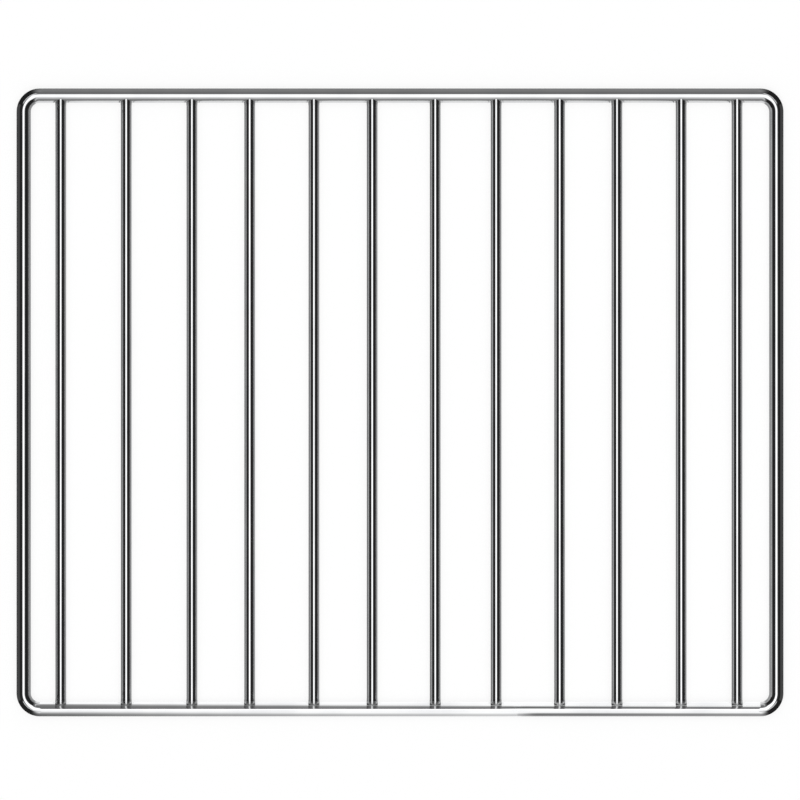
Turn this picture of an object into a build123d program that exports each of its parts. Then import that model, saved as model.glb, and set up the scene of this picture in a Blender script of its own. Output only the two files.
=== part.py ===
from build123d import *
import os

# Flat wire rack of an air fryer oven: one rim wire bent to a rounded rectangle and closed by a butt weld,
# with straight cross wires butt-welded between its front and back rails.
# Frame: millimetres, +Z up. X runs along the width, Y along the depth with the front at -Y, and the origin
# lies on the resting surface under the middle of the rim.

# Overall size, over the rim
RACK_WIDTH = 320.0
RACK_DEPTH = 262.0

# Rim wire
RIM_WIRE_DIAMETER = 6.0
RIM_BEND_RADIUS = 6.7  # corner bend, at the wire's centre line
RIM_WELD_PLACE = 49.0  # butt weld on the front rail, to the right of the middle
RIM_WELD_LENGTH = 5.0  # band of rail that was ground after welding
RIM_WELD_FADE = 1.5  # run-out of the ground band at each end
RIM_WELD_DEPTH = 0.15  # how far the ground band lies below the wire's surface

# Cross wires
CROSS_WIRE_DIAMETER = 4.5
CROSS_WIRE_COUNT = 12
END_WIRE_INSET = 19.2  # from the rim's outside to the even place of the outermost wires
CROWN_DROP = 0.5  # the cross wires' crowns lie this far below the rim's crown
# How far each wire is welded to the right of its even place, from the left
WELD_SHIFTS = (-0.7, 1.0, 2.8, 1.3, 2.5, 1.2, 1.9, 1.7, 2.6, 0.9, 2.1, -0.2)

# Swollen wire ends, where welding forged them against the rim
WELD_UPSET_HEIGHT = 0.35
WELD_UPSET_LENGTH = 2.0  # from the rim's inside, along the cross wire

# Sizes that follow from the ones above
RIM_RADIUS = RIM_WIRE_DIAMETER / 2
RIM_AXIS_WIDTH = RACK_WIDTH - RIM_WIRE_DIAMETER
RIM_AXIS_DEPTH = RACK_DEPTH - RIM_WIRE_DIAMETER
RIM_AXIS_HEIGHT = RIM_RADIUS
RAIL_AXIS_Y = RIM_AXIS_DEPTH / 2
RAIL_INSIDE_Y = RAIL_AXIS_Y - RIM_RADIUS
CROSS_WIRE_RADIUS = CROSS_WIRE_DIAMETER / 2
CROSS_AXIS_HEIGHT = RIM_WIRE_DIAMETER - CROWN_DROP - CROSS_WIRE_RADIUS
END_WIRE_X = RACK_WIDTH / 2 - END_WIRE_INSET
CROSS_WIRE_PITCH = 2 * END_WIRE_X / (CROSS_WIRE_COUNT - 1)


def bent_wire():
    """The rim wire alone, swept round its rounded rectangle."""
    path = RectangleRounded(RIM_AXIS_WIDTH, RIM_AXIS_DEPTH, RIM_BEND_RADIUS).face().outer_wire()
    path = Pos(0, 0, RIM_AXIS_HEIGHT) * path
    section = Plane(origin=path @ 0, z_dir=path % 0) * Circle(RIM_RADIUS)
    return sweep(section, path=path)


def ground_band():
    """What grinding took off round the rim's butt weld, as a ring turned about the front rail's axis."""
    half = RIM_WELD_LENGTH / 2
    floor = RIM_RADIUS - RIM_WELD_DEPTH
    rim_clear = RIM_RADIUS + RIM_WELD_DEPTH
    outline = Polyline(
        (-half, RIM_RADIUS),
        (-half + RIM_WELD_FADE, floor),
        (half - RIM_WELD_FADE, floor),
        (half, RIM_RADIUS),
        (half, rim_clear),
        (-half, rim_clear),
        close=True,
    )
    ring = revolve(make_face(outline), axis=Axis.X)
    return Pos(RIM_WELD_PLACE, -RAIL_AXIS_Y, RIM_AXIS_HEIGHT) * ring


def cross_wire_blank():
    """One cross wire before coping: a turned bar with forged tapers, ending at the front and back rails' axes."""
    taper_start = RAIL_INSIDE_Y - WELD_UPSET_LENGTH
    swollen = CROSS_WIRE_RADIUS + WELD_UPSET_HEIGHT
    outline = Polyline(
        (0, -RAIL_AXIS_Y),
        (swollen, -RAIL_AXIS_Y),
        (swollen, -RAIL_INSIDE_Y),
        (CROSS_WIRE_RADIUS, -taper_start),
        (CROSS_WIRE_RADIUS, taper_start),
        (swollen, RAIL_INSIDE_Y),
        (swollen, RAIL_AXIS_Y),
        (0, RAIL_AXIS_Y),
        close=True,
    )
    return revolve(make_face(outline), axis=Axis.Y)


def cross_wire_x(index):
    """Where a cross wire is welded along the rails, counted from the left."""
    even_place = -END_WIRE_X + index * CROSS_WIRE_PITCH
    return even_place + WELD_SHIFTS[index % len(WELD_SHIFTS)]


def main():
    """Builds the rim and the cross wires and writes one STEP file for each."""
    os.makedirs("parts", exist_ok=True)
    rim = bent_wire() - ground_band()
    export_step(rim, "parts/rim_wire.step")
    blank = cross_wire_blank()
    for index in range(CROSS_WIRE_COUNT):
        placed = Pos(cross_wire_x(index), 0, CROSS_AXIS_HEIGHT) * blank
        coped = placed - rim
        export_step(coped, f"parts/cross_wire_{index + 1:02d}.step")


main()
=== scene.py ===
import logging
import math
from dataclasses import dataclass
from enum import Enum
from typing import Callable

import bmesh
import bpy
import numpy as np
from mathutils import Matrix, Vector, noise


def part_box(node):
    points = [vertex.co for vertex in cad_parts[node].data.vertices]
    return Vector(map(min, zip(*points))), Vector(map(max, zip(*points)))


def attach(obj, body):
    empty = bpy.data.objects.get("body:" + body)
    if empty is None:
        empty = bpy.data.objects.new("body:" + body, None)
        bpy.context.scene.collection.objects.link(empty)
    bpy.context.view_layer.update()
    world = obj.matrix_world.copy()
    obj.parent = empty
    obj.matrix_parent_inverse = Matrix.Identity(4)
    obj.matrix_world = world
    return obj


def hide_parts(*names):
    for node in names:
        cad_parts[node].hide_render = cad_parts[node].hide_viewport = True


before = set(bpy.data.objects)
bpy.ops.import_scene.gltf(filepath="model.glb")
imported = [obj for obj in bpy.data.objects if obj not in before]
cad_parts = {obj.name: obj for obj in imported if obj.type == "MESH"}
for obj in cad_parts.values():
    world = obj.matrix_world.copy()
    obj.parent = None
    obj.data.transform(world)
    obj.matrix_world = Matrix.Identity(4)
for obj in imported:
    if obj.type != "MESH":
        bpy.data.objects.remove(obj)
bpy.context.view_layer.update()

LOG = logging.getLogger("wire_rack")

Mesh = bmesh.types.BMesh
Ring = list[bmesh.types.BMVert]
Edges = list[bmesh.types.BMEdge]
Socket = bpy.types.NodeSocket
Colour = tuple[float, float, float, float]
# Where something begins and where it ends.
Span = tuple[float, float]
# Pairs of a place and the brightness there.
Stops = tuple[tuple[float, float], ...]
# Pairs of a share of a card's length and the brightness there, by share of the card's width.
Sweep = tuple[tuple[float, Stops], ...]

MM = 0.001
ROOT_BODY = "root"
RIM_NODE = "rim_wire"
CROSS_NODES = sorted(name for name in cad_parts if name.startswith("cross_wire_"))

WIRE_UV = "wire"
WELD_ATTRIBUTE = "weld"
GROUND_ATTRIBUTE = "ground"
REFLECTION_TONE_ATTRIBUTE = "tone"

# Sockets of a Mix node that is set to colours, which share their names with those for numbers.
MIX_FIRST, MIX_SECOND, MIX_RESULT = 6, 7, 2

# What a card is hidden from, so that only the chrome sees it: the cards are glowing sheets that only paint
# reflections onto the chrome.
UNSEEN_BY = (
    "visible_camera",
    "visible_diffuse",
    "visible_transmission",
    "visible_volume_scatter",
    "visible_shadow",
)
NEARLY_NOTHING = 0.001
QUARTER_TURN = math.pi / 2
# The slope in degrees of a card that stands upright.
UPRIGHT = 90.0


class Heading(Enum):
    """The four level directions, in the order in which the rim wire takes them."""

    RIGHT = (1.0, 0.0, 0.0)
    BACK = (0.0, 1.0, 0.0)
    LEFT = (-1.0, 0.0, 0.0)
    FRONT = (0.0, -1.0, 0.0)


class Finish(Enum):
    """The two chrome finishes of the rack."""

    RIM = "rim_chrome"
    CROSS = "cross_wire_chrome"


def smooth_step(low: float, high: float, value: float) -> float:
    """Eases from 0, where the value is low, to 1, where it is high."""
    share = min(1.0, max(0.0, (value - low) / (high - low)))
    return share * share * (3.0 - 2.0 * share)


def start_ring(bm: Mesh, sides: int, radius: float, place: tuple[float, float, float], axis: str) -> Ring:
    """Draws a wire's first ring, turned upright about one axis."""
    upright = Matrix.Translation(place) @ Matrix.Rotation(QUARTER_TURN, 4, axis)
    return bmesh.ops.create_circle(bm, segments=sides, radius=radius, matrix=upright)["verts"]


def ring_edges(verts: Ring) -> Edges:
    """Finds the edges that join the corners of one ring, without those that lead away from it."""
    members = set(verts)
    return list({edge for vert in verts for edge in vert.link_edges if set(edge.verts) <= members})


def extrude_ring(bm: Mesh, edges: Edges, step: Vector) -> Ring:
    """Draws a ring of edges out by one step.

    Args:
        bm: the mesh being built.
        edges: the ring at the open end of the wire.
        step: how far the new ring lies from it.

    Returns:
        The corners of the new ring.
    """
    drawn = bmesh.ops.extrude_edge_only(bm, edges=edges)["geom"]
    verts = [item for item in drawn if isinstance(item, bmesh.types.BMVert)]
    bmesh.ops.translate(bm, vec=step, verts=verts)
    return verts


def lay_wire_uv(bm: Mesh, place: Callable[[Vector], tuple[float, float]], length: float = 1.0) -> None:
    """Lays a UV map along a wire: metres along it in U and turns around it in V.

    Args:
        bm: the wire's mesh.
        place: gives the pair for a point of the surface.
        length: the U at which a closed wire meets itself, or more than the length of an open one.
    """
    layer = bm.loops.layers.uv.new(WIRE_UV)
    for face in bm.faces:
        middle_u, middle_v = place(face.calc_center_median())
        for loop in face.loops:
            u, v = place(loop.vert.co)
            u += length * round((middle_u - u) / length)
            v += round(middle_v - v)
            loop[layer].uv = (u, v)


def place_mesh(bm: Mesh, name: str, material: bpy.types.Material) -> bpy.types.Object:
    """Turns a finished mesh into an object.

    Args:
        bm: the finished mesh, which is freed.
        name: the object's name.
        material: its finish.

    Returns:
        The new object.
    """
    mesh = bpy.data.meshes.new(name)
    bm.to_mesh(mesh)
    bm.free()
    mesh.materials.append(material)
    thing = bpy.data.objects.new(name, mesh)
    bpy.context.scene.collection.objects.link(thing)
    return thing


def finish_piece(bm: Mesh, name: str, node: str, material: bpy.types.Material) -> None:
    """Turns a finished mesh into a piece of the rack, riding on its one body.

    Args:
        bm: the finished mesh, which is freed.
        name: the piece's name.
        node: the CAD node that the piece stands for.
        material: the piece's finish.
    """
    bmesh.ops.recalc_face_normals(bm, faces=bm.faces)
    for face in bm.faces:
        face.smooth = True
    piece = place_mesh(bm, name, material)
    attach(piece, ROOT_BODY)
    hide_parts(node)
    LOG.info("%s: %d faces, stands for %s", name, len(piece.data.polygons), node)


def finish_stage(bm: Mesh, name: str, material: bpy.types.Material) -> bpy.types.Object:
    """Turns a finished mesh into a thing of the studio, which isn't part of the rack.

    Args:
        bm: the finished mesh, which is freed.
        name: the thing's name.
        material: its finish.

    Returns:
        The new object.
    """
    thing = place_mesh(bm, name, material)
    LOG.info("%s put up", name)
    return thing


class ShaderSketch:
    """Places nodes in one node tree and links them, so that a shader reads as a list of steps."""

    def __init__(self, tree: bpy.types.NodeTree) -> None:
        """Empties the tree and keeps it."""
        tree.nodes.clear()
        self.tree = tree

    def add(
        self, kind: str, inputs: dict[int | str, object] | None = None, **settings: object
    ) -> bpy.types.Node:
        """Adds a node.

        Args:
            kind: the node's type, such as ShaderNodeMath.
            inputs: what feeds its inputs by name or number, each an output socket or a plain value.
            **settings: properties of the node to set.

        Returns:
            The new node.
        """
        node = self.tree.nodes.new(kind)
        for key, value in settings.items():
            setattr(node, key, value)
        for key, source in (inputs or {}).items():
            if isinstance(source, Socket):
                self.tree.links.new(source, node.inputs[key])
            else:
                node.inputs[key].default_value = source
        return node

    def math(self, operation: str, *sources: object, clamp: bool = False) -> Socket:
        """Adds a Math node that the sources feed in order."""
        inputs = dict(enumerate(sources))
        return self.add("ShaderNodeMath", inputs, operation=operation, use_clamp=clamp).outputs[0]

    def blend(self, share: object, first: object, second: object) -> Socket:
        """Blends two numbers by the share of the second."""
        return self.math("MULTIPLY_ADD", share, self.math("SUBTRACT", second, first), first)

    def ramp(self, value: object, low: float, high: float, start: float = 0.0, end: float = 1.0) -> Socket:
        """Adds a smooth ramp from start, where the value is low, to end, where it is high."""
        inputs = {"Value": value, "From Min": low, "From Max": high, "To Min": start, "To Max": end}
        return self.add("ShaderNodeMapRange", inputs, interpolation_type="SMOOTHSTEP", clamp=True).outputs[0]

    def mix(self, share: object, first: object, second: object) -> Socket:
        """Mixes two colours by the share of the second."""
        inputs = {"Factor": share, MIX_FIRST: first, MIX_SECOND: second}
        return self.add("ShaderNodeMix", inputs, data_type="RGBA").outputs[MIX_RESULT]

    def noise(self, vector: Socket, scale: object, detail: float, roughness: float = 0.5) -> Socket:
        """Adds noise from 0 to 1, with as many finer layers as detail says and as strong as roughness says."""
        inputs = {"Vector": vector, "Scale": scale, "Detail": detail, "Roughness": roughness}
        return self.add("ShaderNodeTexNoise", inputs).outputs["Fac"]


class WireEffects:
    """The shader node groups that both chrome finishes share."""

    def __init__(self) -> None:
        """Builds each group once."""
        self.drawn_lines = self._drawn_lines()
        self.plating = self._plating()
        self.weld_skin = self._weld_skin()

    @staticmethod
    def _open(
        name: str, vector: str, numbers: tuple[str, ...], results: tuple[str, ...]
    ) -> tuple[ShaderSketch, bpy.types.Node]:
        """Makes a group with named sockets.

        Args:
            name: the group's name.
            vector: its one input for a vector.
            numbers: its inputs for numbers.
            results: its outputs, all numbers.

        Returns:
            The group's nodes, and the one among them that gives its inputs.
        """
        tree = bpy.data.node_groups.new(name, "ShaderNodeTree")
        tree.interface.new_socket(name=vector, in_out="INPUT", socket_type="NodeSocketVector")
        for side, names in (("INPUT", numbers), ("OUTPUT", results)):
            for socket in names:
                tree.interface.new_socket(name=socket, in_out=side, socket_type="NodeSocketFloat")
        sketch = ShaderSketch(tree)
        return sketch, sketch.add("NodeGroupInput")

    def _drawn_lines(self) -> bpy.types.NodeTree:
        """Fine lines along the wire, left by the die that drew it.

        Returns:
            A group that reads the wire's UV map and gives Lines, from 0 to 1.
        """
        sketch, source = self._open("drawn_lines", "UV", ("Lines Around", "Lines Along"), ("Lines",))
        u, v, _ = sketch.add("ShaderNodeSeparateXYZ", {0: source.outputs["UV"]}).outputs
        turn = sketch.math("MULTIPLY", v, math.tau)
        along = sketch.math("MULTIPLY", u, source.outputs["Lines Along"])
        across = sketch.math("MULTIPLY", sketch.math("COSINE", turn), source.outputs["Lines Around"])
        upward = sketch.math("MULTIPLY", sketch.math("SINE", turn), source.outputs["Lines Around"])
        joined = sketch.add("ShaderNodeCombineXYZ", {0: along, 1: across, 2: upward})
        lines = sketch.noise(joined.outputs[0], scale=1.0, detail=3.0, roughness=0.6)
        sketch.add("NodeGroupOutput", {"Lines": lines})
        return sketch.tree

    def _plating(self) -> bpy.types.NodeTree:
        """Clouding and fine pits of the chrome plate.

        Returns:
            A group that reads Object coordinates and gives Cloud and Pits, each from 0 to 1.
        """
        sketch, source = self._open("plating", "Position", ("Cloud Scale", "Pit Scale"), ("Cloud", "Pits"))
        position = source.outputs["Position"]
        cloud = sketch.noise(position, source.outputs["Cloud Scale"], detail=4.0)
        specks = sketch.noise(position, source.outputs["Pit Scale"], detail=1.0)
        cloud = sketch.ramp(cloud, low=0.3, high=0.7)
        pits = sketch.ramp(specks, low=0.68, high=0.78)
        sketch.add("NodeGroupOutput", {"Cloud": cloud, "Pits": pits})
        return sketch.tree

    def _weld_skin(self) -> bpy.types.NodeTree:
        """The slightly grainy plate over the forged metal of a weld.

        Returns:
            A group that reads a mark's weight and Object coordinates and gives Mark and Grain, from 0 to 1.
        """
        sketch, source = self._open("weld_skin", "Position", ("Weight", "Grain Scale"), ("Mark", "Grain"))
        weight = source.outputs["Weight"]
        position, scale = source.outputs["Position"], source.outputs["Grain Scale"]
        grain = sketch.noise(position, scale, detail=3.0, roughness=0.6)
        middle, ragged = 0.5, 0.7
        broken = sketch.math("MULTIPLY_ADD", sketch.math("SUBTRACT", grain, middle), ragged, weight)
        inner = sketch.ramp(broken, low=0.12, high=0.85)
        mark = sketch.math("MULTIPLY", inner, sketch.ramp(weight, low=0.0, high=0.1))
        sketch.add("NodeGroupOutput", {"Mark": mark, "Grain": sketch.math("MULTIPLY", grain, mark)})
        return sketch.tree


@dataclass(frozen=True)
class ChromeFinish:
    """Bright chrome plate over drawn steel wire, a little grainy at the welds.

    Attributes:
        finish: which of the rack's finishes this is.
        bright: colour of clean plate.
        clouded: colour where the plate is thinner.
        grainy: colour of the plate over the welds.
        polish: roughness of clean plate.
        line_polish: roughness that the drawn lines add.
        pit_polish: roughness that the pits add.
        grainy_polish: roughness of the plate over the welds.
        ground_polish: roughness that grinding adds.
        lines_around: how fine the drawn lines are.
        lines_along: how soon they change along the wire.
        cloud_scale: how fine the clouding is.
        pit_scale: how fine the pits are.
        grain_scale: how fine the grain of the welds is.
        ground_scale: how fine the grinding lines are, along the wire and around it.
        relief: strength of all relief.
        line_height: height of the drawn lines in metres.
        grain_height: height of the grain, in heights of the drawn lines.
        ground_height: height of the grinding lines round a dressed weld, in the same measure.
    """

    finish: Finish
    bright: Colour = (0.70, 0.705, 0.71, 1.0)
    clouded: Colour = (0.63, 0.635, 0.645, 1.0)
    grainy: Colour = (0.58, 0.585, 0.59, 1.0)
    polish: float = 0.035
    line_polish: float = 0.04
    pit_polish: float = 0.08
    grainy_polish: float = 0.09
    ground_polish: float = 0.12
    lines_around: float = 9.0
    lines_along: float = 22.0
    cloud_scale: float = 60.0
    pit_scale: float = 2600.0
    grain_scale: float = 1500.0
    ground_scale: tuple[float, float, float] = (5200.0, 1.5, 1.0)
    relief: float = 0.2
    line_height: float = 0.004 * MM
    grain_height: float = 3.0
    ground_height: float = 0.0

    def material(self, effects: WireEffects) -> bpy.types.Material:
        """Builds the material.

        Args:
            effects: the shared node groups.

        Returns:
            The finished material.
        """
        material = bpy.data.materials.new(self.finish.value)
        material.use_nodes = True
        sketch = ShaderSketch(material.node_tree)
        place = sketch.add("ShaderNodeTexCoord").outputs["Object"]
        wire = sketch.add("ShaderNodeUVMap", uv_map=WIRE_UV).outputs["UV"]
        weld = sketch.add("ShaderNodeAttribute", attribute_name=WELD_ATTRIBUTE).outputs["Fac"]
        drawing = {"UV": wire, "Lines Around": self.lines_around, "Lines Along": self.lines_along}
        plating = {"Position": place, "Cloud Scale": self.cloud_scale, "Pit Scale": self.pit_scale}
        welding = {"Position": place, "Weight": weld, "Grain Scale": self.grain_scale}
        lines = sketch.add("ShaderNodeGroup", drawing, node_tree=effects.drawn_lines).outputs["Lines"]
        plate = sketch.add("ShaderNodeGroup", plating, node_tree=effects.plating).outputs
        skin = sketch.add("ShaderNodeGroup", welding, node_tree=effects.weld_skin).outputs
        colour = sketch.mix(plate["Cloud"], self.bright, self.clouded)
        colour = sketch.mix(skin["Mark"], colour, self.grainy)
        shine = sketch.math("MULTIPLY_ADD", lines, self.line_polish, self.polish)
        shine = sketch.math("MULTIPLY_ADD", plate["Pits"], self.pit_polish, shine)
        shine = sketch.math("MULTIPLY_ADD", skin["Mark"], self.grainy_polish - self.polish, shine)
        height = sketch.math("MULTIPLY_ADD", skin["Grain"], self.grain_height, lines)
        if self.ground_height > 0.0:
            ground = sketch.add("ShaderNodeAttribute", attribute_name=GROUND_ATTRIBUTE).outputs["Fac"]
            stretched = sketch.add("ShaderNodeMapping", {"Vector": wire, "Scale": self.ground_scale})
            scratches = sketch.noise(stretched.outputs["Vector"], scale=1.0, detail=2.0)
            rings = sketch.math("MULTIPLY", scratches, ground)
            shine = sketch.math("MULTIPLY_ADD", ground, self.ground_polish, shine)
            height = sketch.math("MULTIPLY_ADD", rings, self.ground_height, height)
        relief = {"Strength": self.relief, "Distance": self.line_height, "Height": height}
        normal = sketch.add("ShaderNodeBump", relief).outputs["Normal"]
        surface = {"Metallic": 1.0, "Base Color": colour, "Roughness": shine, "Normal": normal}
        shader = sketch.add("ShaderNodeBsdfPrincipled", surface)
        sketch.add("ShaderNodeOutputMaterial", {"Surface": shader.outputs["BSDF"]})
        LOG.info("finish %s made", self.finish.value)
        return material


@dataclass
class CrossWire:
    """One straight cross wire, forged against the rim at both ends.

    Attributes:
        node: the CAD node that the wire stands for.
        material: the wire's finish.
        radius: half the wire's thickness.
        rim_radius: half the rim wire's thickness.
        upset: how much thicker the forged ends are.
        upset_length: how far the forged taper reaches along the wire.
        lump_size: size of the lumps in the forged metal.
        lump_share: share of the swelling that the lumps make up.
        embed: how far the ends reach into the rim's skin.
        fitted: share of the rim's radius up to which the ends follow its round side.
        cap_size: size of the hidden end face, as a share of the wire's thickness.
        cap_depth: its distance from the rim's middle, as a share of the rim's radius.
        mark_length: how far the weld's mark reaches, in lengths of the taper.
        mark_depth: how far inside the rim the mark is at its strongest.
        sides: faces round the wire.
        shank_step: distance between rings along the plain stretch.
        taper_rings: rings in each taper.
        saddle_rings: rings where each end lies against the rim.
    """

    node: str
    material: bpy.types.Material
    radius: float = 2.25 * MM
    rim_radius: float = 3.0 * MM
    upset: float = 0.10 * MM
    upset_length: float = 1.6 * MM
    lump_size: float = 1.6 * MM
    lump_share: float = 0.12
    embed: float = 0.12 * MM
    fitted: float = 0.98
    cap_size: float = 0.6
    cap_depth: float = 0.35
    mark_length: float = 1.6
    mark_depth: float = 0.5 * MM
    sides: int = 48
    shank_step: float = 8.0 * MM
    taper_rings: int = 8
    saddle_rings: int = 3

    def __post_init__(self) -> None:
        """Reads the wire's place from its CAD node and begins its mesh."""
        low, high = (Vector(corner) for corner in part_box(self.node))
        _, rim_high = (Vector(corner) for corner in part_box(RIM_NODE))
        middle = (low + high) / 2
        self.x = middle.x
        self.z = middle.z
        self.rail_y = rim_high.y - self.rim_radius
        self.inside_y = self.rail_y - self.rim_radius
        self.number = self.node[-2:]
        self.bm = bmesh.new()

    def build(self) -> None:
        """Builds the wire."""
        stations = self._stations()
        verts = start_ring(self.bm, self.sides, self.radius, (self.x, stations[0], self.z), "X")
        front_ring = ring_edges(verts)
        for before, after in zip(stations, stations[1:]):
            verts = extrude_ring(self.bm, ring_edges(verts), Vector((0.0, after - before, 0.0)))
        back_ring = ring_edges(verts)
        self._forge()
        self._cap(front_ring, 1.0)
        self._cap(back_ring, -1.0)
        self._mark()
        lay_wire_uv(self.bm, self._uv)
        finish_piece(self.bm, f"wire_{self.number}", self.node, self.material)

    def _stations(self) -> list[float]:
        """Where the rings lie along the wire, from the front.

        Returns:
            Each ring's Y, with the saddle rings not yet fitted to the rim.
        """
        start = self.inside_y - self.upset_length
        count = round(2 * start / self.shank_step)
        shank = [-start + 2 * start * index / count for index in range(count + 1)]
        back = []
        for begin, length, rings in (
            (start, self.upset_length, self.taper_rings),
            (self.inside_y, self.rim_radius, self.saddle_rings),
        ):
            back += [begin + length * (index + 1) / rings for index in range(rings)]
        return [-y for y in reversed(back)] + shank + back

    def _forge(self) -> None:
        """Swells the ends of the plain tube and fits them to the rim's round side."""
        start = self.inside_y - self.upset_length
        for vert in self.bm.verts:
            side = math.copysign(1.0, vert.co.y)
            reach = abs(vert.co.y)
            if reach <= start:
                continue
            share = smooth_step(start, self.inside_y, reach)
            offset = Vector((vert.co.x - self.x, 0.0, vert.co.z - self.z))
            spot = Vector((offset.x, side * float(self.number) * MM, offset.z)) / self.lump_size
            swelling = self.upset * share * (1.0 - self.lump_share + self.lump_share * noise.noise(spot))
            offset *= (self.radius + swelling) / self.radius
            vert.co.x = self.x + offset.x
            vert.co.z = self.z + offset.z
            if reach > self.inside_y:
                rise = min(abs(vert.co.z - self.rim_radius), self.fitted * self.rim_radius)
                skin = self.rail_y - math.sqrt(self.rim_radius**2 - rise**2) + self.embed
                depth = (reach - self.inside_y) / self.rim_radius
                vert.co.y = side * (self.inside_y + depth * (skin - self.inside_y))

    def _cap(self, ring: Edges, inward: float) -> None:
        """Closes an end inside the rim.

        Args:
            ring: the open ring at that end.
            inward: the sign of Y that leads back along the wire.
        """
        for edge in ring:
            edge.smooth = False
        verts = extrude_ring(self.bm, ring, Vector((0.0, 0.0, 0.0)))
        centre = Matrix.Translation((-self.x, 0.0, -self.z))
        bmesh.ops.scale(self.bm, vec=(self.cap_size, 1.0, self.cap_size), space=centre, verts=verts)
        for vert in verts:
            vert.co.y = -inward * (self.rail_y - self.cap_depth * self.rim_radius)
        bmesh.ops.contextual_create(self.bm, geom=ring_edges(verts))

    def _mark(self) -> None:
        """Writes how strongly welding marked each point."""
        layer = self.bm.verts.layers.float.new(WELD_ATTRIBUTE)
        start = self.inside_y - self.mark_length * self.upset_length
        for vert in self.bm.verts:
            vert[layer] = smooth_step(start, self.inside_y + self.mark_depth, abs(vert.co.y))

    def _uv(self, point: Vector) -> tuple[float, float]:
        """Gives metres along the wire and turns around it."""
        return point.y, math.atan2(point.z - self.z, point.x - self.x) / math.tau


@dataclass
class RimWire:
    """The rim: one wire bent to a rounded rectangle and closed by a dressed butt weld.

    Attributes:
        material: the rim's finish.
        cross_wires: the cross wires that are welded to it.
        radius: half the wire's thickness.
        bend: radius of the corner bends at the wire's middle.
        weld_place: where the butt weld is on the front rail.
        weld_half: half the length of the ground band.
        weld_depth: how far the ground band lies below the wire's surface.
        weld_floor: share of that half over which the band has its full depth.
        weld_lines: shares of that half between which the grinding lines begin and are full.
        weld_rings: share of that half over which rings lie close together.
        mark: strength of the marks that welding the cross wires left.
        mark_edge: distances from such a weld between which its mark begins and is full.
        sides: faces round the wire.
        rail_step: distance between rings along the rails.
        weld_step: distance between rings in the ground band.
        bend_steps: rings in each corner.
        merge: distance within which the wire's two ends are joined.
    """

    material: bpy.types.Material
    cross_wires: list[CrossWire]
    radius: float = 3.0 * MM
    bend: float = 6.7 * MM
    weld_place: float = 49.0 * MM
    weld_half: float = 2.5 * MM
    weld_depth: float = 0.05 * MM
    weld_floor: float = 0.3
    weld_lines: Span = (1.2, 0.7)
    weld_rings: float = 1.4
    mark: float = 0.9
    mark_edge: Span = (4.2 * MM, 2.4 * MM)
    sides: int = 64
    rail_step: float = 1.6 * MM
    weld_step: float = 0.25 * MM
    bend_steps: int = 20
    merge: float = 0.02 * MM

    def __post_init__(self) -> None:
        """Reads the rim's reach from its CAD node and begins its mesh."""
        _, high = (Vector(corner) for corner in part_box(RIM_NODE))
        self.rail_x = high.x - self.radius
        self.rail_y = high.y - self.radius
        self.bend_x = self.rail_x - self.bend
        self.bend_y = self.rail_y - self.bend
        self.length = 4 * (self.bend_x + self.bend_y + self.bend * QUARTER_TURN)
        self.bm = bmesh.new()

    def build(self) -> None:
        """Builds the rim."""
        band = self.weld_rings * self.weld_half
        verts = start_ring(self.bm, self.sides, self.radius, (self.weld_place, -self.rail_y, self.radius), "Y")
        verts = self._run(verts, Heading.RIGHT, band, self.weld_step)
        for heading, length, side_x, side_y in (
            (Heading.RIGHT, self.bend_x - self.weld_place - band, 1.0, -1.0),
            (Heading.BACK, 2 * self.bend_y, 1.0, 1.0),
            (Heading.LEFT, 2 * self.bend_x, -1.0, 1.0),
            (Heading.FRONT, 2 * self.bend_y, -1.0, -1.0),
        ):
            verts = self._run(verts, heading, length, self.rail_step)
            verts = self._turn(verts, side_x, side_y)
        verts = self._run(verts, Heading.RIGHT, self.bend_x + self.weld_place - band, self.rail_step)
        self._run(verts, Heading.RIGHT, band, self.weld_step)
        bmesh.ops.remove_doubles(self.bm, verts=self.bm.verts, dist=self.merge)
        lay_wire_uv(self.bm, self._uv, self.length)
        self._mark()
        self._grind()
        finish_piece(self.bm, "rim", RIM_NODE, self.material)

    def _run(self, verts: Ring, heading: Heading, length: float, step: float) -> Ring:
        """Draws the wire out straight.

        Args:
            verts: the open end's ring.
            heading: which way the wire runs.
            length: how far it runs.
            step: the distance between rings, at most.

        Returns:
            The new open end's ring.
        """
        count = math.ceil(length / step)
        move = Vector(heading.value) * (length / count)
        for _ in range(count):
            verts = extrude_ring(self.bm, ring_edges(verts), move)
        return verts

    def _turn(self, verts: Ring, side_x: float, side_y: float) -> Ring:
        """Bends the wire round a corner to the left.

        Args:
            verts: the open end's ring.
            side_x: the sign of the corner's X.
            side_y: the sign of the corner's Y.

        Returns:
            The new open end's ring.
        """
        bent = bmesh.ops.spin(
            self.bm,
            geom=verts + ring_edges(verts),
            cent=(side_x * self.bend_x, side_y * self.bend_y, self.radius),
            axis=(0.0, 0.0, 1.0),
            angle=QUARTER_TURN,
            steps=self.bend_steps,
            use_merge=False,
            use_duplicate=False,
        )
        return [item for item in bent["geom_last"] if isinstance(item, bmesh.types.BMVert)]

    def _mark(self) -> None:
        """Writes how strongly welding marked each point, and where the butt weld was ground."""
        weld = self.bm.verts.layers.float.new(WELD_ATTRIBUTE)
        ground = self.bm.verts.layers.float.new(GROUND_ATTRIBUTE)
        inside = self.rail_y - self.radius
        begin, full = (share * self.weld_half for share in self.weld_lines)
        for vert in self.bm.verts:
            if abs(vert.co.y) < self.bend_y:
                continue
            side = math.copysign(1.0, vert.co.y)
            wire = min(self.cross_wires, key=lambda other: abs(other.x - vert.co.x))
            nearest = (vert.co - Vector((wire.x, side * inside, wire.z))).length
            vert[weld] = self.mark * smooth_step(*self.mark_edge, nearest)
            if side < 0.0:
                vert[ground] = smooth_step(begin, full, abs(vert.co.x - self.weld_place))

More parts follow.
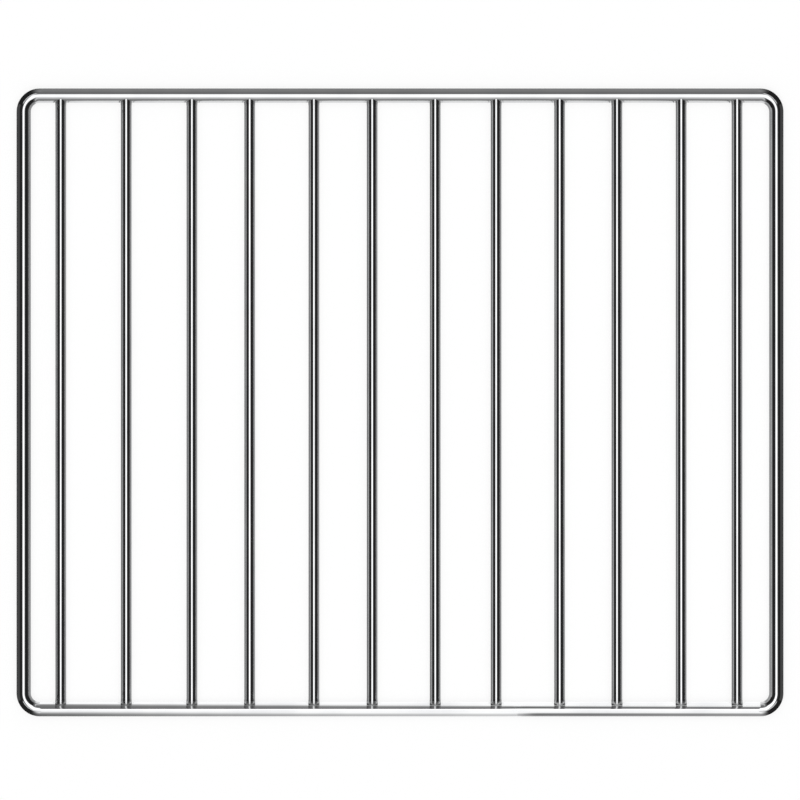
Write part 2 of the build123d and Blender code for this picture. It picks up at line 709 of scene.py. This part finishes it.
    def _grind(self) -> None:
        """Takes the ground band round the butt weld down below the wire's surface."""
        axis = Vector((0.0, -self.rail_y, self.radius))
        for vert in self.bm.verts:
            away = abs(vert.co.x - self.weld_place)
            if vert.co.y > -self.bend_y or away > self.weld_half:
                continue
            depth = self.weld_depth * smooth_step(self.weld_half, self.weld_floor * self.weld_half, away)
            axis.x = vert.co.x
            vert.co = axis + (vert.co - axis) * (1.0 - depth / self.radius)

    def _uv(self, point: Vector) -> tuple[float, float]:
        """Gives metres along the rim from the butt weld, going round to the left, and turns around the wire.

        Args:
            point: a point on the rim's surface or inside it.

        Returns:
            The pair that the UV map holds.
        """
        far_x, far_y = abs(point.x), abs(point.y)
        over_x, over_y = far_x - self.bend_x, far_y - self.bend_y
        if over_x > 0.0 and over_y > 0.0:
            outward, angle = math.hypot(over_x, over_y), math.atan2(over_y, over_x)
        elif over_y > over_x:
            outward, angle = over_y, QUARTER_TURN
        else:
            outward, angle = over_x, 0.0
        along = self.bend * angle + min(self.bend_y, far_y) + self.bend_x - min(self.bend_x, far_x)
        u = self.length / 4 + math.copysign(along, point.y)
        if point.x < 0.0:
            u = self.length - u
        turn = math.atan2(point.z - self.radius, outward - self.bend) / math.tau
        return (u - self.weld_place) % self.length, turn


def grey(tone: float) -> Colour:
    """Gives the neutral colour of one brightness."""
    return tone, tone, tone, 1.0


def even(*tones: tuple[float, float]) -> Sweep:
    """Gives a card the same brightness along its whole length."""
    return ((0.0, tones),)


def tone_at(tones: Stops, place: float) -> float:
    """Reads the brightness between two pairs."""
    return float(np.interp(place, *zip(*tones)))


class ReflectionCardMaker:
    """Finishes the cards round the rack, which glow by a tone of their own and which only the chrome sees, so
    that each card is a painted reflection on the chrome.
    """

    def __init__(self) -> None:
        """Builds the finish that all cards share."""
        self.material = bpy.data.materials.new("card")
        self.material.use_nodes = True
        sketch = ShaderSketch(self.material.node_tree)
        # Each corner's tone sets the card's glow, which the chrome shows as a painted reflection.
        tone = sketch.add("ShaderNodeAttribute", attribute_name=REFLECTION_TONE_ATTRIBUTE).outputs["Fac"]
        glow = sketch.add("ShaderNodeEmission", {"Color": grey(1.0), "Strength": tone})
        sketch.add("ShaderNodeOutputMaterial", {"Surface": glow.outputs[0]})

    def finish(self, bm: Mesh, name: str, tone: Callable[[Vector], float]) -> None:
        """Turns a finished mesh into a card, whose glow paints a reflection onto the chrome.

        Args:
            bm: the finished mesh, which is freed.
            name: the card's name.
            tone: gives the card's brightness at a point, the strength of the painted reflection there.
        """
        layer = bm.verts.layers.float.new(REFLECTION_TONE_ATTRIBUTE)
        for vert in bm.verts:
            vert[layer] = tone(vert.co)
        card = finish_stage(bm, name, self.material)
        for ray in UNSEEN_BY:
            setattr(card, ray, False)


@dataclass(frozen=True)
class Floor:
    """The plain white floor.

    Attributes:
        size: length of its sides.
        colour: brightness of the floor itself.
        glow: share of plain white that the camera and the chrome see over the floor and its shadows.
    """

    size: float = 40.0
    colour: float = 0.95
    glow: float = 0.8

    def build(self) -> None:
        """Lays the floor, mixing a matt surface, which keeps the rack's shadow, with plain white."""
        material = bpy.data.materials.new("pale_floor")
        material.use_nodes = True
        sketch = ShaderSketch(material.node_tree)
        matt = sketch.add("ShaderNodeBsdfDiffuse", {"Color": grey(self.colour)}).outputs[0]
        white = sketch.add("ShaderNodeEmission", {"Color": grey(1.0)}).outputs[0]
        rays = sketch.add("ShaderNodeLightPath").outputs
        seen = sketch.math("ADD", rays["Is Camera Ray"], rays["Is Glossy Ray"])
        seen = sketch.math("ADD", seen, rays["Is Transmission Ray"], clamp=True)
        share = sketch.math("MULTIPLY", seen, self.glow)
        mixed = sketch.add("ShaderNodeMixShader", {0: share, 1: matt, 2: white})
        sketch.add("ShaderNodeOutputMaterial", {"Surface": mixed.outputs[0]})
        bm = bmesh.new()
        bmesh.ops.create_grid(bm, x_segments=1, y_segments=1, size=self.size / 2)
        finish_stage(bm, "floor", material)


@dataclass(frozen=True)
class Card:
    """A kind of long card that stands along a wire and glows to paint a band of reflection onto it.

    Attributes:
        lift: height of its foot above the floor.
        width: its size up the slope.
        slope: degrees at which it rises outwards.
        rows: strips that make up its width.
        columns: strips that make up its length.
    """

    lift: float = 0.1 * MM
    width: float = 22.0 * MM
    slope: float = 38.0
    rows: int = 24
    columns: int = 48

    def build(
        self, name: str, maker: ReflectionCardMaker, outward: Heading, foot: float, span: Span, tones: Sweep
    ) -> None:
        """Puts one card of this kind up.

        Args:
            name: the card's name.
            maker: finishes the card.
            outward: which way it lies from the rack's middle.
            foot: how far out from the middle its foot is.
            span: its reach along the wire, from the middle and going round to the left.
            tones: its brightness along its length and from its foot up, which paints the reflection that the
                chrome shows.
        """
        start, end = span
        turn = Matrix.Rotation(math.atan2(outward.value[1], outward.value[0]), 4, "Z")
        lean = Matrix.Rotation(-math.radians(self.slope), 4, "Y")
        place = turn @ Matrix.Translation((foot, (start + end) / 2, self.lift)) @ lean
        bm = bmesh.new()
        bmesh.ops.create_grid(bm, x_segments=self.rows, y_segments=self.columns, size=0.5)
        bmesh.ops.translate(bm, vec=(0.5, 0.0, 0.0), verts=bm.verts)
        bmesh.ops.scale(bm, vec=(self.width, end - start, 1.0), verts=bm.verts)
        bmesh.ops.transform(bm, matrix=place, verts=bm.verts)
        back = place.inverted()
        maker.finish(bm, name, lambda point: self._tone(back @ point, end - start, tones))

    def _tone(self, spot: Vector, length: float, tones: Sweep) -> float:
        """Gives the brightness at a spot, which lies up the card from its foot and along it from its middle."""
        here = tuple((share, tone_at(stops, spot.x / self.width)) for share, stops in tones)
        return tone_at(here, spot.y / length + 0.5)


@dataclass(frozen=True)
class CornerFlag:
    """A kind of dark card that curves round a corner of the rim, outside or inside it, and paints a dark
    reflection there.

    Attributes:
        outward: 1 for a card outside the rim, -1 for one inside.
        tone: its brightness away from the front or back rail.
        gap: distance from the rim to its lower edge.
        lift: height of its lower edge above the floor.
        spread: how much further from the rim its upper edge lies.
        height: height of its upper edge above the floor.
        start: degrees round the corner at which it begins, from the front or back rail.
        fade: degrees round the corner from which it has its own brightness.
        end: degrees round the corner at which it ends.
        steps: flat faces that make up its curve.
        rows: strips that make up its height.
    """

    outward: float
    tone: float = 0.02
    gap: float = -1.0 * MM
    lift: float = 0.1 * MM
    spread: float = 13.8 * MM
    height: float = 22.0 * MM
    start: float = -2.0
    fade: float = 26.0
    end: float = 70.0
    steps: int = 24
    rows: int = 24

    def build(
        self, rim: RimWire, maker: ReflectionCardMaker, side_x: float, side_y: float, end_tones: Stops
    ) -> None:
        """Puts one card of this kind up.

        Args:
            rim: the rim that it stands beside.
            maker: finishes the card.
            side_x: the sign of the corner's X.
            side_y: the sign of the corner's Y.
            end_tones: its brightness where it begins, by share of its height.
        """
        reach = rim.bend + self.outward * (rim.radius + self.gap)
        start = math.radians(self.start)
        bm = bmesh.new()
        low = Vector((0.0, reach, self.lift))
        high = Vector((0.0, reach + self.outward * self.spread, self.height))
        profile = [bm.verts.new(low.lerp(high, row / self.rows)) for row in range(self.rows + 1)]
        edges = [bm.edges.new(pair) for pair in zip(profile, profile[1:])]
        middle = Vector((0.0, 0.0, 0.0))
        bmesh.ops.rotate(bm, cent=middle, matrix=Matrix.Rotation(-start, 3, "Z"), verts=bm.verts)
        bmesh.ops.spin(
            bm,
            geom=profile + edges,
            cent=middle,
            axis=(0.0, 0.0, 1.0),
            angle=start - math.radians(self.end),
            steps=self.steps,
            use_duplicate=False,
        )
        corner = Vector((side_x * rim.bend_x, side_y * rim.bend_y, 0.0))
        bmesh.ops.scale(bm, vec=(side_x, side_y, 1.0), verts=bm.verts)
        bmesh.ops.translate(bm, vec=corner, verts=bm.verts)
        name = f"flag_{side_x:+.0f}_{side_y:+.0f}_{self.outward:+.0f}"
        maker.finish(bm, name, lambda point: self._tone(point - corner, end_tones))

    def _tone(self, offset: Vector, end_tones: Stops) -> float:
        """Fades the card from the rail's end of the corner to its own brightness.

        Args:
            offset: where a point lies from the corner's middle.
            end_tones: the brightness where the card begins.

        Returns:
            The brightness at that point.
        """
        angle = math.degrees(math.atan2(abs(offset.x), abs(offset.y)))
        share = smooth_step(self.start, self.fade, angle)
        end_tone = tone_at(end_tones, (offset.z - self.lift) / (self.height - self.lift))
        return end_tone + share * (self.tone - end_tone)


@dataclass(frozen=True)
class Room:
    """The room that the chrome mirrors: soft light overhead, dark sides, grey ends and four softboxes.

    Attributes:
        across: brightness by degrees from straight up towards the right.
        lengthwise: brightness by degrees from straight up towards the back.
        brightest: brightness at the top of both scales.
        turn: shares of depth in a direction between which the sides give way to the ends.
        box_light: brightness of the softboxes in the four diagonals.
        box_outer: shares of depth between which a softbox begins, beside the dark sides.
        box_inner: shares of depth between which it ends, beside the grey ends.
        box_low: shares of height between which it begins.
        box_high: shares of height between which it ends.
    """

    across: Stops = (
        (-110.0, 0.30), (-92.0, 0.62), (-79.0, 0.55), (-71.0, 0.14), (-63.0, 0.025),
        (-22.0, 0.025), (-16.0, 0.3), (-11.0, 1.7), (11.0, 1.7), (16.0, 0.3), (24.0, 0.05),
        (36.0, 0.02), (64.0, 0.02), (80.0, 0.09), (92.0, 0.22), (110.0, 0.30),
    )
    lengthwise: Stops = (
        (-110.0, 0.2), (-90.0, 0.19), (-71.0, 0.27), (-53.0, 0.55), (-36.0, 0.95), (-20.0, 1.3),
        (-12.0, 1.8), (12.0, 1.8), (20.0, 0.5), (32.0, 0.18), (46.0, 0.18), (64.0, 0.33),
        (72.0, 0.35), (76.0, 1.0), (81.0, 1.0), (85.0, 0.12), (93.0, 0.1), (110.0, 0.25),
    )
    brightest: float = 2.0
    turn: Span = (0.86, 0.96)
    box_light: float = 0.95
    box_outer: Span = (0.42, 0.52)
    box_inner: Span = (0.955, 0.985)
    box_low: Span = (0.16, 0.5)
    box_high: Span = (0.80, 0.92)

    def build(self) -> None:
        """Paints the room."""
        world = bpy.data.worlds.new("studio")
        world.use_nodes = True
        bpy.context.scene.world = world
        sketch = ShaderSketch(world.node_tree)
        place = sketch.add("ShaderNodeTexCoord").outputs["Generated"]
        x, y, z = sketch.add("ShaderNodeSeparateXYZ", {0: place}).outputs
        # How far a direction leads to the front or back, at 1, rather than to a side, at 0.
        level = sketch.math("ADD", sketch.math("MULTIPLY", x, x), sketch.math("MULTIPLY", y, y))
        length = sketch.math("MAXIMUM", sketch.math("SQRT", level), NEARLY_NOTHING)
        depth = sketch.math("DIVIDE", sketch.math("ABSOLUTE", y), length)
        sides = self._sweep(sketch, sketch.math("ARCTAN2", x, z), self.across)
        ends = self._sweep(sketch, sketch.math("ARCTAN2", y, z), self.lengthwise)
        room = sketch.blend(sketch.ramp(depth, *self.turn), sides, ends)
        # Where a softbox hangs, at 1, easing to 0 at its edges.
        boxes = sketch.ramp(depth, *self.box_outer)
        for share, edge, start, end in (
            (depth, self.box_inner, 1.0, 0.0),
            (z, self.box_low, 0.0, 1.0),
            (z, self.box_high, 1.0, 0.0),
        ):
            boxes = sketch.math("MULTIPLY", boxes, sketch.ramp(share, *edge, start, end))
        room = sketch.blend(boxes, room, self.box_light)
        backdrop = sketch.add("ShaderNodeBackground", {"Color": grey(1.0), "Strength": room})
        sketch.add("ShaderNodeOutputWorld", {"Surface": backdrop.outputs[0]})
        LOG.info("room painted")

    def _sweep(self, sketch: ShaderSketch, angle: Socket, stops: Stops) -> Socket:
        """Adds the room's brightness over one angle.

        Args:
            sketch: the world's nodes.
            angle: the angle from straight up, in radians.
            stops: pairs of degrees and brightness, in rising order.

        Returns:
            The brightness.
        """
        first, last = stops[0][0], stops[-1][0]
        limits = {"Value": angle, "From Min": math.radians(first), "From Max": math.radians(last)}
        share = sketch.add("ShaderNodeMapRange", limits, clamp=True).outputs["Result"]
        ramp = sketch.add("ShaderNodeValToRGB", {"Fac": share})
        elements = ramp.color_ramp.elements
        elements.remove(elements[1])
        for index, (degrees, brightness) in enumerate(stops):
            place = (degrees - first) / (last - first)
            element = elements[0] if index == 0 else elements.new(place)
            element.position = place
            element.color = grey(brightness / self.brightest)
        return sketch.math("MULTIPLY", ramp.outputs["Color"], self.brightest)


@dataclass
class Studio:
    """The studio: floor, cards that glow only for the chrome and paint reflections onto it, fill light, room
    and the camera straight above.

    Attributes:
        rim: the rim that the cards stand round.
        frame_width: width of the picture at the rack.
        lens: focal length in millimetres.
        sensor: sensor width in millimetres.
        rack_height: height of the rim wire's middle, which the picture's scale is taken at.
        aim_y: where the picture's middle lies along the depth.
        far: distance beyond which the camera sees nothing.
        fill_light: strength of the light that brings the floor to a plain level.
        fill_spread: how broad that light is, in degrees.
        outer: the cards on the left, on the right and at the back, which paint dark and grey reflections on the
            rim's outer side.
        tuck: how far those cards reach in under the rim.
        side_reach: half the length of the cards on the left and right.
        side_tones: brightness of those two cards, a painted dark reflection.
        back_tones: brightness of the card at the back, a painted grey reflection.
        front: the cards at the front, which paint the reflection on the front rail's outer side.
        front_tuck: how far those cards reach in under the rim.
        front_tones: their brightness, up to the rim's butt weld and beyond it, so that the painted reflection
            changes at the weld.
        crown: the upright cards over the front rail, which paint the dark band along its inner top.
        crown_inset: distance from the rail's middle to those cards.
        crown_tones: their brightness, up to that weld and beyond it, as painted reflection.
        sill: the upright cards close inside the front rail, which paint a white reflection along its inner
            edge.
        sill_inset: distance from the rail's middle to those cards.
        sill_tones: their brightness, up to that weld and beyond it, as painted reflection.
        bridge_tones: brightness of the small cards before the crown and the sill, one at each cross wire, which
            paint a dark, bright and dark stripe like the wire's own onto the rail beyond its end.
        bridge_half: half the length of the small cards.
        bridge_gap: how far the small cards stand before the others.
        fin: the low cards along the cross wires and inside the left and right rails, which paint the shaded
            floor into their flanks' reflection.
        fin_tones: brightness of those on the left and on the right of each cross wire, painted shade in
            reflection, darker on the left.
        fin_gap: distance from the wire's middle to those cards.
        fin_embed: how far their ends reach into the rim.
        rail_fin_tones: brightness of those inside the left and right rails, painted shade in reflection.
        rail_fin_gap: distance from the rail's middle to those cards.
        flag: the flags outside the corners, which paint dark reflections on them.
        flag_fin: the low cards inside the corners, which paint the shaded floor into their reflection.
        flag_fin_tones: brightness at which those cards begin.
        inner_flag: the flags inside the corners, which paint a dark band on the corners' inside.
        inner_flag_tones: brightness at which those flags begin.
    """

    rim: RimWire
    frame_width: float = 333.8 * MM
    lens: float = 300.0
    sensor: float = 36.0
    rack_height: float = 3.0 * MM
    aim_y: float = 1.0 * MM
    far: float = 50.0
    fill_light: float = 1.4
    fill_spread: float = 70.0
    outer: Card = Card()
    tuck: float = 1.0 * MM
    side_reach: float = 0.4
    # Painted dark reflection on the left and right rails, painted grey one on the back rail.
    side_tones: Sweep = even((0.0, 0.08))
    back_tones: Sweep = even((0.0, 0.23), (0.3, 0.32), (0.6, 0.22))
    front: Card = Card(width=22.5 * MM, slope=75.0)
    front_tuck: float = 0.1 * MM
    # Painted reflection on the front rail, brighter up high and different on either side of the butt weld.
    front_tones: tuple[Sweep, Sweep] = (
        (
            (0.0, (
                (0.17, 0.2), (0.225, 0.22), (0.29, 0.42), (0.385, 0.8), (0.5, 1.1), (0.6, 1.3), (0.8, 1.45),
            )),
            (0.5, ((0.17, 0.58), (0.225, 0.62), (0.29, 1.05), (0.385, 1.35), (0.8, 1.45))),
            (1.0, ((0.17, 0.83), (0.225, 0.87), (0.29, 1.3), (0.385, 1.45))),
        ),
        (
            (0.0, ((0.13, 0.7), (0.2, 0.6), (0.26, 0.8), (0.3, 1.3), (0.42, 1.45))),
            (0.07, (
                (0.13, 0.38), (0.2, 0.28), (0.26, 0.15), (0.3, 0.5), (0.33, 0.95), (0.42, 1.35), (1.0, 1.45),
            )),
            (1.0, (
                (0.13, 0.45), (0.2, 0.45), (0.26, 0.42), (0.3, 0.9), (0.33, 1.25), (0.42, 1.4), (1.0, 1.45),
            )),
        ),
    )
    crown: Card = Card(lift=5.5 * MM, width=16.0 * MM, slope=UPRIGHT, rows=96)
    crown_inset: float = 1.6 * MM
    crown_tones: tuple[Sweep, Sweep] = (
        (
            (0.0, ((0.01, 0.28), (0.047, 0.22), (0.13, 0.22), (1.0, 0.24))),
            (0.5, ((0.01, 0.6), (0.03, 0.33), (0.13, 0.28), (1.0, 0.26))),
            (0.94, ((0.01, 1.3), (0.03, 0.5), (0.06, 0.33), (0.13, 0.28), (1.0, 0.28))),
            (1.0, (
                (0.01, 1.4), (0.03, 0.5), (0.06, 0.25), (0.13, 0.2), (0.22, 0.3), (0.43, 0.7), (1.0, 1.2),
            )),
        ),
        (
            (0.0, (
                (0.01, 1.4), (0.03, 0.5), (0.06, 0.25), (0.13, 0.17), (0.22, 0.3), (0.43, 0.8), (1.0, 1.3),
            )),
            (1.0, (
                (0.01, 1.4), (0.047, 1.0), (0.09, 0.4), (0.13, 0.18), (0.22, 0.16), (0.43, 0.2), (1.0, 0.35),
            )),
        ),
    )
    sill: Card = Card(lift=2.5 * MM, width=3.8 * MM, slope=UPRIGHT, rows=96)
    sill_inset: float = 3.15 * MM
    sill_tones: tuple[Sweep, Sweep] = (
        (
            (0.0, ((0.64, 1.4), (0.72, 0.4), (1.0, 0.25))),
            (0.5, ((0.64, 1.4), (0.72, 1.3), (1.0, 0.8))),
            (1.0, ((0.0, 1.4),)),
        ),
        even((0.0, 1.4)),
    )
    # Painted reflection stripes that copy a cross wire's dark sides and highlight.
    bridge_tones: Stops = (
        (0.0, 0.07), (0.25, 0.18), (0.37, 0.18), (0.48, 1.1), (0.6, 0.16), (0.75, 0.1), (1.0, 0.25),
    )
    bridge_half: float = 2.3 * MM
    bridge_gap: float = 0.1 * MM
    fin: Card = Card(width=4.4 * MM, slope=UPRIGHT)
    # Painted shade: the floor beside each wire as its flanks mirror it, darker on the left.
    fin_tones: tuple[Sweep, Sweep] = (even((0.4, 0.18), (1.0, 0.3)), even((0.4, 0.6), (1.0, 0.38)))
    fin_gap: float = 3.0 * MM
    fin_embed: float = 0.5 * MM
    rail_fin_tones: Sweep = even((0.4, 0.45), (1.0, 0.38))
    rail_fin_gap: float = 4.0 * MM
    flag: CornerFlag = CornerFlag(1.0)
    flag_fin: CornerFlag = CornerFlag(
        -1.0, tone=0.42, gap=1.0 * MM, spread=0.0, height=4.4 * MM, start=22.0, fade=34.0, end=90.0
    )
    flag_fin_tones: Stops = ((0.0, 1.0),)
    inner_flag: CornerFlag = CornerFlag(
        -1.0, gap=0.8 * MM, lift=5.4 * MM, spread=1.2 * MM, height=14.0 * MM, start=22.0, fade=34.0
    )
    inner_flag_tones: Stops = ((0.0, 0.3),)

    def __post_init__(self) -> None:
        """Finds the front rail's two straight stretches, up to the butt weld and beyond it."""
        rim = self.rim
        self.stretches = (-rim.bend_x, rim.weld_place), (rim.weld_place, rim.bend_x)
        self.maker = ReflectionCardMaker()

    def build(self) -> None:
        """Builds everything round the rack."""
        Floor().build()
        self._outer_cards()
        self._front_strips()
        self._fins()
        self._flags()
        self._fill_light()
        Room().build()
        self._camera()

    def _outer_cards(self) -> None:
        """Puts up the cards that stand round the rack, which paint the reflections on the rim's outer side."""
        side_foot = self.rim.rail_x + self.rim.radius - self.tuck
        back_foot = self.rim.rail_y + self.rim.radius - self.tuck
        front_foot = self.rim.rail_y + self.rim.radius - self.front_tuck
        reach = (-self.side_reach, self.side_reach)
        width = (-self.rim.bend_x, self.rim.bend_x)
        self.outer.build("card_left", self.maker, Heading.LEFT, side_foot, reach, self.side_tones)
        self.outer.build("card_right", self.maker, Heading.RIGHT, side_foot, reach, self.side_tones)
        self.outer.build("card_back", self.maker, Heading.BACK, back_foot, width, self.back_tones)
        for span, tones in zip(self.stretches, self.front_tones):
            self.front.build("card_front", self.maker, Heading.FRONT, front_foot, span, tones)

    def _front_strips(self) -> None:
        """Puts up the narrow upright cards along the inside of the front rail, which paint its reflections
        there and carry each wire's stripes onto it.
        """
        bridge_tones = tuple((share, ((0.0, tone),)) for share, tone in self.bridge_tones)
        for name, card, inset, stretch_tones in (
            ("crown", self.crown, self.crown_inset, self.crown_tones),
            ("sill", self.sill, self.sill_inset, self.sill_tones),
        ):
            strips = [(span, tones, inset) for span, tones in zip(self.stretches, stretch_tones)]
            for wire in self.rim.cross_wires:
                span = wire.x - self.bridge_half, wire.x + self.bridge_half
                strips.append((span, bridge_tones, inset - self.bridge_gap))
            for span, tones, place in strips:
                card.build(name, self.maker, Heading.FRONT, self.rim.rail_y - place, span, tones)

    def _fins(self) -> None:
        """Puts up the low cards along the cross wires and inside the left and right rails, which paint the
        shaded floor into the flanks' reflection.
        """
        left_tones, right_tones = self.fin_tones
        rail = self.rim.rail_x - self.rail_fin_gap
        reach = self.rim.rail_y - self.rim.radius + self.fin_embed
        fins = [(place, self.rail_fin_tones, self.rim.bend_y) for place in (-rail, rail)]
        for wire in self.rim.cross_wires:
            fins.append((wire.x - self.fin_gap, left_tones, reach))
            fins.append((wire.x + self.fin_gap, right_tones, reach))
        for place, tones, half in fins:
            self.fin.build("fin", self.maker, Heading.RIGHT, place, (-half, half), tones)

    def _flags(self) -> None:
        """Puts up the curved cards outside and inside the corners, which paint dark and grey reflections there
        and begin with the tones next to them.
        """
        left_tones, right_tones = self.front_tones[0][0][1], self.front_tones[1][-1][1]
        back_tones = self.back_tones[0][1]
        for side_x, front_tones in ((-1.0, left_tones), (1.0, right_tones)):
            for side_y, end_tones in ((-1.0, front_tones), (1.0, back_tones)):
                for flag, tones in (
                    (self.flag, end_tones),
                    (self.flag_fin, self.flag_fin_tones),
                    (self.inner_flag, self.inner_flag_tones),
                ):
                    flag.build(self.rim, self.maker, side_x, side_y, tones)

    def _fill_light(self) -> None:
        """Shines a broad soft light straight down, which the chrome doesn't mirror."""
        data = bpy.data.lights.new("fill_light", "SUN")
        data.energy = self.fill_light
        data.angle = math.radians(self.fill_spread)
        lamp = bpy.data.objects.new("fill_light", data)
        lamp.visible_glossy = False
        bpy.context.scene.collection.objects.link(lamp)
        LOG.info("fill light set")

    def _camera(self) -> None:
        """Hangs the camera straight above the rack."""
        data = bpy.data.cameras.new("camera")
        data.lens = self.lens
        data.sensor_width = self.sensor
        data.clip_end = self.far
        camera = bpy.data.objects.new("camera", data)
        distance = self.frame_width * self.lens / self.sensor
        camera.location = (0.0, self.aim_y, self.rack_height + distance)
        bpy.context.scene.collection.objects.link(camera)
        bpy.context.scene.camera = camera
        LOG.info("camera %.2f m above the rack", distance)


def main() -> None:
    """Builds the rack's pieces, then the studio round it."""
    logging.basicConfig(level=logging.INFO, format="%(name)s: %(message)s")
    bpy.context.scene.view_settings.view_transform = "Standard"
    effects = WireEffects()
    rim_chrome = ChromeFinish(Finish.RIM, lines_around=11.0, ground_height=1.0).material(effects)
    cross_chrome = ChromeFinish(Finish.CROSS).material(effects)
    wires = [CrossWire(node, cross_chrome) for node in CROSS_NODES]
    for wire in wires:
        wire.build()
    rim = RimWire(rim_chrome, wires)
    rim.build()
    Studio(rim).build()


if __name__ == "__main__":
    main()
